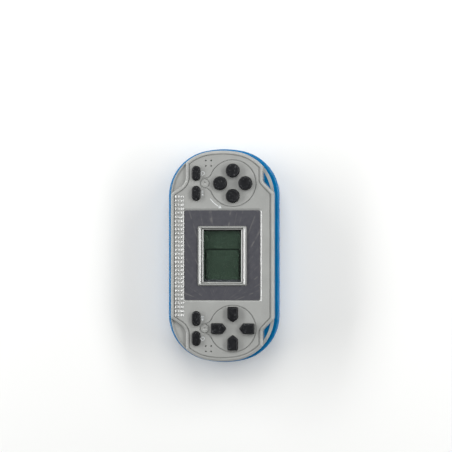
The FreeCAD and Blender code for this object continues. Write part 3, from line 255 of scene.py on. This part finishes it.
# ---- Printed marks ---------------------------------------------------------------------------
# Small pad-printed pictograms in pale ink beside the oval keys, and a turning arrow beside the
# round keys. Each is a film of ink a few hundredths thick on the plate.
INK_HEIGHT = mm(0.02)
INK_WIDTH = mm(0.3)
INK_COLOUR = "#E3E6E6"
INK_THIN = "#C9CCCB"
ink = new_material("pad_printed_ink_pale_grey")
where = millimetres(ink)
surface(
    ink,
    add(
        ink,
        "BsdfPrincipled",
        {
            "Base Color": blend_colours(
                ink, spread(ink, noise(ink, where, 0.4), 0, 1), linear(INK_COLOUR), linear(INK_THIN)
            ),
            "Roughness": 0.45,
        },
    ),
)

PLATE_ABOVE_PANEL = mm(0.15)
plate_top = panel_high.z + PLATE_ABOVE_PANEL


def arc_points(centre, radius, start, end, steps=24):
    """Points along an arc between two angles in degrees."""
    angles = [math.radians(start + (end - start) * i / steps) for i in range(steps + 1)]
    return [centre + radius * Vector((math.cos(a), math.sin(a))) for a in angles]


def stroke(mesh, points, width, z):
    """Adds a flat band along a path, with round ends."""
    count = len(points)
    sides = []
    for i, point in enumerate(points):
        ahead = points[min(i + 1, count - 1)] - points[max(i - 1, 0)]
        across = Vector((-ahead.y, ahead.x)).normalized() * width / 2
        sides.append((point + across, point - across))
    rows = [[mesh.verts.new((p.x, p.y, z)) for p in pair] for pair in sides]
    for (a, b), (c, d) in zip(rows, rows[1:]):
        mesh.faces.new((a, b, d, c))
    for end in (points[0], points[-1]):
        ring = arc_points(end, width / 2, 0, 330, 11)
        mesh.faces.new([mesh.verts.new((p.x, p.y, z)) for p in ring])


def patch(mesh, points, z):
    """Adds a flat filled shape."""
    mesh.faces.new([mesh.verts.new((p.x, p.y, z)) for p in points])


def print_mark(name, centre, strokes, patches=()):
    """Prints a mark on the plate. Its strokes and patches are in mm from its centre."""
    mesh = bmesh.new()
    low = plate_top - INK_HEIGHT / 2
    for points in strokes:
        stroke(mesh, [centre + mm(1) * p for p in points], INK_WIDTH, low)
    for points in patches:
        patch(mesh, [centre + mm(1) * p for p in points], low)
    raised = bmesh.ops.extrude_face_region(mesh, geom=mesh.faces[:])["geom"]
    tops = [item for item in raised if isinstance(item, bmesh.types.BMVert)]
    bmesh.ops.translate(mesh, verts=tops, vec=(0, 0, INK_HEIGHT))
    bmesh.ops.recalc_face_normals(mesh, faces=mesh.faces[:])
    data = bpy.data.meshes.new(name)
    mesh.to_mesh(data)
    mesh.free()
    data.materials.append(ink)
    mark = bpy.data.objects.new(name, data)
    bpy.context.collection.objects.link(mark)
    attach(mark, "case")


MARK_DROP = mm(2.5)
MARK_RADIUS = 0.7
middle = Vector((0, 0))


def below_key(key):
    """The place for a mark on the player's side of a key."""
    low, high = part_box(key)
    return Vector(((low.x + high.x) / 2, (low.y + high.y) / 2 - MARK_DROP))


power = [arc_points(middle, MARK_RADIUS, 125, 415), [Vector((0, 0.15)), Vector((0, 0.85))]]
print_mark("mark_power", below_key("small_button_right_outer"), power)
again = [arc_points(middle, MARK_RADIUS, 60, 340)]
again_tip = [[Vector((0.62, 0.3)), Vector((0.18, -0.08)), Vector((0.9, -0.42))]]
print_mark("mark_again", below_key("small_button_left_outer"), again, again_tip)
play_patch = [[Vector((-0.85, -0.55)), Vector((0.0, 0.0)), Vector((-0.85, 0.55))]]
pause_strokes = [[Vector((x, -0.4)), Vector((x, 0.4))] for x in (0.3, 0.8)]
print_mark("mark_play_pause", below_key("small_button_right_inner"), pause_strokes, play_patch)
horn = [
    [
        Vector((-0.8, -0.25)),
        Vector((-0.45, -0.25)),
        Vector((0.0, -0.65)),
        Vector((0.0, 0.65)),
        Vector((-0.45, 0.25)),
        Vector((-0.8, 0.25)),
    ]
]
waves = [arc_points(middle, r, -42, 42, 10) for r in (0.4, 0.85)]
print_mark("mark_sound", below_key("small_button_left_inner"), waves, horn)

# The turning arrow runs round the middle of the four round keys.
round_keys = [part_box(name) for name in parts if name.startswith("action_button_")]
pad_centre = sum((low + high for low, high in round_keys), Vector()).to_2d() / (2 * len(round_keys))
TIP_LENGTH = 1.1
TIP_HALF_WIDTH = 0.65
TURN_RADIUS = 10.6
TURN_START, TURN_END = 124.0, 150.0
tip = Vector((math.cos(math.radians(TURN_END)), math.sin(math.radians(TURN_END)))) * TURN_RADIUS
ahead = Vector((-tip.y, tip.x)).normalized()
out = tip.normalized()
turn_tip = [[tip + ahead * TIP_LENGTH, tip + out * TIP_HALF_WIDTH, tip - out * TIP_HALF_WIDTH]]
turn_arc = arc_points(middle, TURN_RADIUS, TURN_START, TURN_END)
print_mark("mark_turn", pad_centre, [turn_arc], turn_tip)


# ---- Rear casing, battery door and its latch -------------------------------------------------
# Bright blue ABS from a polished tool, so it is glossy, with a faint orange peel. The door and
# its latch are the same plastic.
BLUE = "#006BA0"
BLUE_DEEP = "#006294"
blue = new_material("abs_blue_gloss_moulded")
where = millimetres(blue)
surface(
    blue,
    add(
        blue,
        "BsdfPrincipled",
        {
            "Base Color": blend_colours(
                blue, spread(blue, noise(blue, where, 8.0, 3.0), 0, 1), linear(BLUE), linear(BLUE_DEEP)
            ),
            "Roughness": spread(blue, noise(blue, where, 2.5), 0.16, 0.22),
            "IOR": 1.53,
            "Specular IOR Level": 0.25,
            "Normal": grained(blue, where, 0.9, 0.006, 0.12),
        },
    ),
)
for name in ("rear_casing", "battery_door", "battery_door_latch"):
    finish_part(name, blue)


# ---- Keys ------------------------------------------------------------------------------------
# Hard black ABS caps with a coarser spark grain that dulls their tops. Bits of dust lie on them.
KEY_BLACK = "#0F1012"
KEY_WORN = "#17181B"
KEY_DUST = "#A0A1A2"
KEY_DUST_SIZE = 0.33
key_plastic = new_material("abs_black_matt_grained")
where = millimetres(key_plastic)
worn = spread(key_plastic, noise(key_plastic, where, 1.6, 4.0), 0, 1)
dust = spread(key_plastic, noise(key_plastic, where, KEY_DUST_SIZE, 1.0), 0, 0.6, 0.66, 0.76)
surface(
    key_plastic,
    add(
        key_plastic,
        "BsdfPrincipled",
        {
            "Base Color": blend_colours(
                key_plastic,
                dust,
                blend_colours(key_plastic, worn, linear(KEY_BLACK), linear(KEY_WORN)),
                linear(KEY_DUST),
            ),
            "Roughness": spread(key_plastic, worn, 0.38, 0.48, 0, 1),
            "IOR": 1.53,
            "Specular IOR Level": 0.25,
            "Normal": grained(key_plastic, where, 0.16, 0.02, 0.15),
        },
    ),
)
for name in parts:
    if "_button_" in name:
        finish_part(name, key_plastic)


# ---- Membranes and carbon pills --------------------------------------------------------------
# Grey silicone rubber sheets with a soft bloom, and black carbon-filled rubber pills.
RUBBER_COLOURS = {"silicone_grey": ("#A4A4A1", "#B2B2AE"), "carbon_rubber": ("#161616", "#242424")}
rubber_finishes = {}
for kind, (colour, bloom) in RUBBER_COLOURS.items():
    rubber = new_material(kind + "_moulded")
    where = millimetres(rubber)
    bloomed = spread(rubber, noise(rubber, where, 2.0, 4.0), 0, 1)
    surface(
        rubber,
        add(
            rubber,
            "BsdfPrincipled",
            {
                "Base Color": blend_colours(rubber, bloomed, linear(colour), linear(bloom)),
                "Roughness": 0.72,
                "IOR": 1.41,
                "Normal": grained(rubber, where, 0.3, 0.01, 0.1),
            },
        ),
    )
    rubber_finishes[kind] = rubber
for name in parts:
    if name.startswith("keypad_membrane"):
        finish_part(name, rubber_finishes["silicone_grey"])
    elif "_pill_" in name or name == "lcd_zebra_strip":
        finish_part(name, rubber_finishes["carbon_rubber"])


# ---- Dark panel round the screen -------------------------------------------------------------
# A thin polycarbonate film printed dark grey on its back, with faint paler streaks that fan out
# from below the screen, stuck down in its recess.
PANEL_GREY = "#4D4D52"
PANEL_STREAK = "#6E6D6C"
PANEL_MOTTLE = "#46464C"
STREAK_COUNT = 120.0
FAN_CENTRE = (-20.0, 1.5, 0.0)
panel = new_material("polycarbonate_film_dark_print")
where = millimetres(panel)
from_fan = add(panel, "VectorMath", {0: where, 1: FAN_CENTRE}, operation="SUBTRACT").outputs[0]
axes = add(panel, "SeparateXYZ", {"Vector": from_fan})
angle = add(panel, "Math", {0: axes.outputs["Y"], 1: axes.outputs["X"]}, operation="ARCTAN2").outputs[0]
around = add(panel, "CombineXYZ", {"X": angle}).outputs[0]
streak = add(panel, "TexNoise", {"Vector": around, "Scale": STREAK_COUNT / math.tau, "Detail": 2.0})
streaks = spread(panel, streak.outputs["Fac"], 0, 1, 0.55, 0.64)
patches = spread(panel, noise(panel, where, 2.2, 3.0), 0, 0.75, 0.42, 0.6)
streaks = add(panel, "Math", {0: streaks, 1: patches}, operation="MULTIPLY").outputs[0]
mottled = blend_colours(
    panel, spread(panel, noise(panel, where, 1.4, 4.0), 0, 1), linear(PANEL_GREY), linear(PANEL_MOTTLE)
)
surface(
    panel,
    add(
        panel,
        "BsdfPrincipled",
        {
            "Base Color": blend_colours(panel, streaks, mottled, linear(PANEL_STREAK)),
            "Roughness": spread(panel, noise(panel, where, 1.2, 3.0), 0.3, 0.38),
            "IOR": 1.58,
            "Normal": grained(panel, where, 0.4, 0.002, 0.05),
        },
    ),
)
finish_part("screen_panel", panel)


# ---- Display ---------------------------------------------------------------------------------
# The top film is a polariser over grey-green liquid crystal, with the play field's outline
# printed in black. The grey edge at one end is the glass's seal. The black band at the far end is
# painted shadow of the frame's wall, in the same black as the line.
LCD_GREEN = "#2A372E"
LCD_DEEP = "#263129"
LCD_SPECK = "#555956"
LCD_SPECK_SIZE = 0.35
# Black for the printed field line, and also for the painted shadow at the far end.
LCD_LINE_AND_SHADOW = "#050706"
LCD_EDGE = "#35373A"
FIELD_MIDDLE = (-3.45, 0.0, 0.0)
FIELD_HALF = (6.05, 6.6, 0.0)
FIELD_CORNER = 0.8
LINE_WIDTH = 0.45
EDGE_X = -9.25
FAR_SHADOW_X = 9.7
lcd = new_material("polariser_over_liquid_crystal")
where = millimetres(lcd)
flat_where = add(lcd, "VectorMath", {0: where, 1: (1, 1, 0)}, operation="MULTIPLY").outputs[0]
shifted = add(lcd, "VectorMath", {0: flat_where, 1: FIELD_MIDDLE}, operation="SUBTRACT").outputs[0]
folded = add(lcd, "VectorMath", {0: shifted}, operation="ABSOLUTE").outputs[0]
inner_half = tuple(side - FIELD_CORNER for side in FIELD_HALF[:2]) + (0.0,)
beyond = add(lcd, "VectorMath", {0: folded, 1: inner_half}, operation="SUBTRACT").outputs[0]
beyond = add(lcd, "VectorMath", {0: beyond, 1: (0, 0, 0)}, operation="MAXIMUM").outputs[0]
reach = add(lcd, "VectorMath", {0: beyond}, operation="LENGTH").outputs["Value"]
off_line = add(lcd, "Math", {0: reach, 1: FIELD_CORNER}, operation="SUBTRACT").outputs[0]
off_line = add(lcd, "Math", {0: off_line}, operation="ABSOLUTE").outputs[0]
line_and_painted_shadow = spread(lcd, off_line, 1, 0, LINE_WIDTH / 2 - 0.06, LINE_WIDTH / 2 + 0.06)
x_place = add(lcd, "SeparateXYZ", {"Vector": where}).outputs["X"]
on_edge = spread(lcd, x_place, 1, 0, EDGE_X - 0.05, EDGE_X + 0.05)
# Beyond the far edge the film is painted black: painted shadow of the frame's wall, added to the line.
painted_far_shadow = spread(lcd, x_place, 0, 1, FAR_SHADOW_X - 0.05, FAR_SHADOW_X + 0.05)
line_and_painted_shadow = add(lcd, "Math", {0: line_and_painted_shadow, 1: painted_far_shadow}, operation="MAXIMUM").outputs[0]
crystal = blend_colours(
    lcd, spread(lcd, noise(lcd, where, 0.5, 3.0), 0, 1, 0.2, 0.8), linear(LCD_GREEN), linear(LCD_DEEP)
)
lcd_specks = spread(lcd, noise(lcd, where, LCD_SPECK_SIZE, 0.0), 0, 0.3, 0.68, 0.76)
crystal = blend_colours(lcd, lcd_specks, crystal, linear(LCD_SPECK))
surface(
    lcd,
    add(
        lcd,
        "BsdfPrincipled",
        {
            "Base Color": blend_colours(
                lcd,
                on_edge,
                blend_colours(lcd, line_and_painted_shadow, crystal, linear(LCD_LINE_AND_SHADOW)),
                linear(LCD_EDGE),
            ),
            "Roughness": 0.3,
            "IOR": 1.49,
            "Specular IOR Level": 0.1,
        },
    ),
)
for name in ("lcd_top_film", "lcd_reflector"):
    finish_part(name, lcd)

# The glass plates and the window are clear, and the window's faces are polished. Such thin plates
# cast no shadow of their own, so light goes straight through them to the display.
for name, kind, roughness, ior in (
    ("screen_window", "acrylic_clear_polished", 0.03, 1.49),
    ("lcd_front_glass", "glass_thin_front", 0.02, 1.52),
    ("lcd_rear_glass", "glass_thin_rear", 0.02, 1.52),
):
    clear = new_material(kind)
    where = millimetres(clear)
    tint = blend_colours(clear, noise(clear, where, 6.0), linear("#FDFEFD"), linear("#F6F9F7"))
    inputs = {"Base Color": tint, "Roughness": roughness, "IOR": ior, "Transmission Weight": 1.0}
    plate = add(clear, "BsdfPrincipled", inputs).outputs[0]
    through = add(clear, "BsdfTransparent", {"Color": tint}).outputs[0]
    in_shadow = add(clear, "LightPath").outputs["Is Shadow Ray"]
    surface(clear, add(clear, "MixShader", {0: in_shadow, 1: plate, 2: through}))
    finish_part(name, clear)


# ---- Board, its chip and small parts ---------------------------------------------------------
# Brown phenolic paper board under a green lacquer, a blob of black epoxy and chip parts.
def plain_finish(kind, colour, second, size, roughness, metallic=0.0, grain=0.2, depth=0.004):
    """A finish of two close colours in soft patches of a size in mm, with a fine grain."""
    made = new_material(kind)
    where = millimetres(made)
    patchy = spread(made, noise(made, where, size, 3.0), 0, 1)
    surface(
        made,
        add(
            made,
            "BsdfPrincipled",
            {
                "Base Color": blend_colours(made, patchy, linear(colour), linear(second)),
                "Metallic": metallic,
                "Roughness": spread(made, patchy, roughness, roughness + 0.08, 0, 1),
                "Normal": grained(made, where, grain, depth, 0.06),
            },
        ),
    )
    return made


finish_part("main_board", plain_finish("phenolic_board_green_lacquer", "#2C5B34", "#335F2E", 1.2, 0.4))
finish_part("chip_cover", plain_finish("epoxy_black_cast", "#121212", "#1B1B1C", 2.0, 0.2))
finish_part("board_components", plain_finish("chip_ceramic_tan", "#A98B66", "#8F7657", 0.6, 0.5))
finish_part("lcd_foam_pad", plain_finish("foam_black_closed_cell", "#1B1B1B", "#262626", 0.4, 0.85))


# ---- Screws, contacts, cells and sounder -----------------------------------------------------
# Zinc-plated screws, nickel-plated spring steel contacts, a brass sounder disc with its fired
# ceramic, and thin PVC leads.
zinc = plain_finish("steel_zinc_plated", "#B9BBBE", "#A7AAAE", 0.5, 0.28, 1.0)
nickel = plain_finish("spring_steel_nickel_plated", "#C6C1B6", "#B5B0A6", 1.5, 0.22, 1.0)
for name in ("casing_screws", "board_screws"):
    finish_part(name, zinc)
for name in ("cell_spring_contact", "cell_plate_contact", "cell_link_contact"):
    finish_part(name, nickel)
finish_part("buzzer_disc", plain_finish("brass_rolled", "#C9A24D", "#B98F3E", 1.0, 0.3, 1.0))
finish_part("buzzer_ceramic", plain_finish("piezo_ceramic_silvered", "#D4D2CB", "#C4C2BB", 0.8, 0.5))
finish_part("buzzer_wires", plain_finish("pvc_red_extruded", "#A81E1E", "#951A1A", 1.0, 0.4))

# Each cell has a plain shrunk sleeve with a pale ring at its positive end, and bare steel ends.
SLEEVE = "#27506B"
SLEEVE_RING = "#C9CCCD"
CAN_STEEL = "#B8B8B6"
RING_WIDTH = 5.0
END_WIDTH = 0.9
for name, plus_side in (("battery_cell_far", 1), ("battery_cell_near", -1)):
    low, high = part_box(name)
    plus_end = (high.x if plus_side > 0 else low.x) / mm(1)
    length = (high.x - low.x) / mm(1)
    sleeve = new_material("pvc_sleeve_on_" + name)
    where = millimetres(sleeve)
    along = add(sleeve, "SeparateXYZ", {"Vector": where}).outputs["X"]
    from_plus = add(sleeve, "Math", {0: plus_end, 1: along}, operation="SUBTRACT").outputs[0]
    from_plus = add(sleeve, "Math", {0: from_plus}, operation="ABSOLUTE").outputs[0]
    in_ring = add(sleeve, "Math", {0: from_plus, 1: RING_WIDTH}, operation="LESS_THAN").outputs[0]
    at_plus = add(sleeve, "Math", {0: from_plus, 1: 2 * END_WIDTH}, operation="LESS_THAN").outputs[0]
    at_foot = add(sleeve, "Math", {0: from_plus, 1: length - END_WIDTH}, operation="GREATER_THAN")
    bare = add(sleeve, "Math", {0: at_plus, 1: at_foot.outputs[0]}, operation="MAXIMUM").outputs[0]
    sleeved = blend_colours(sleeve, in_ring, linear(SLEEVE), linear(SLEEVE_RING))
    surface(
        sleeve,
        add(
            sleeve,
            "BsdfPrincipled",
            {
                "Base Color": blend_colours(sleeve, bare, sleeved, linear(CAN_STEEL)),
                "Metallic": bare,
                "Roughness": spread(sleeve, noise(sleeve, where, 2.0), 0.25, 0.33),
            },
        ),
    )
    finish_part(name, sleeve)
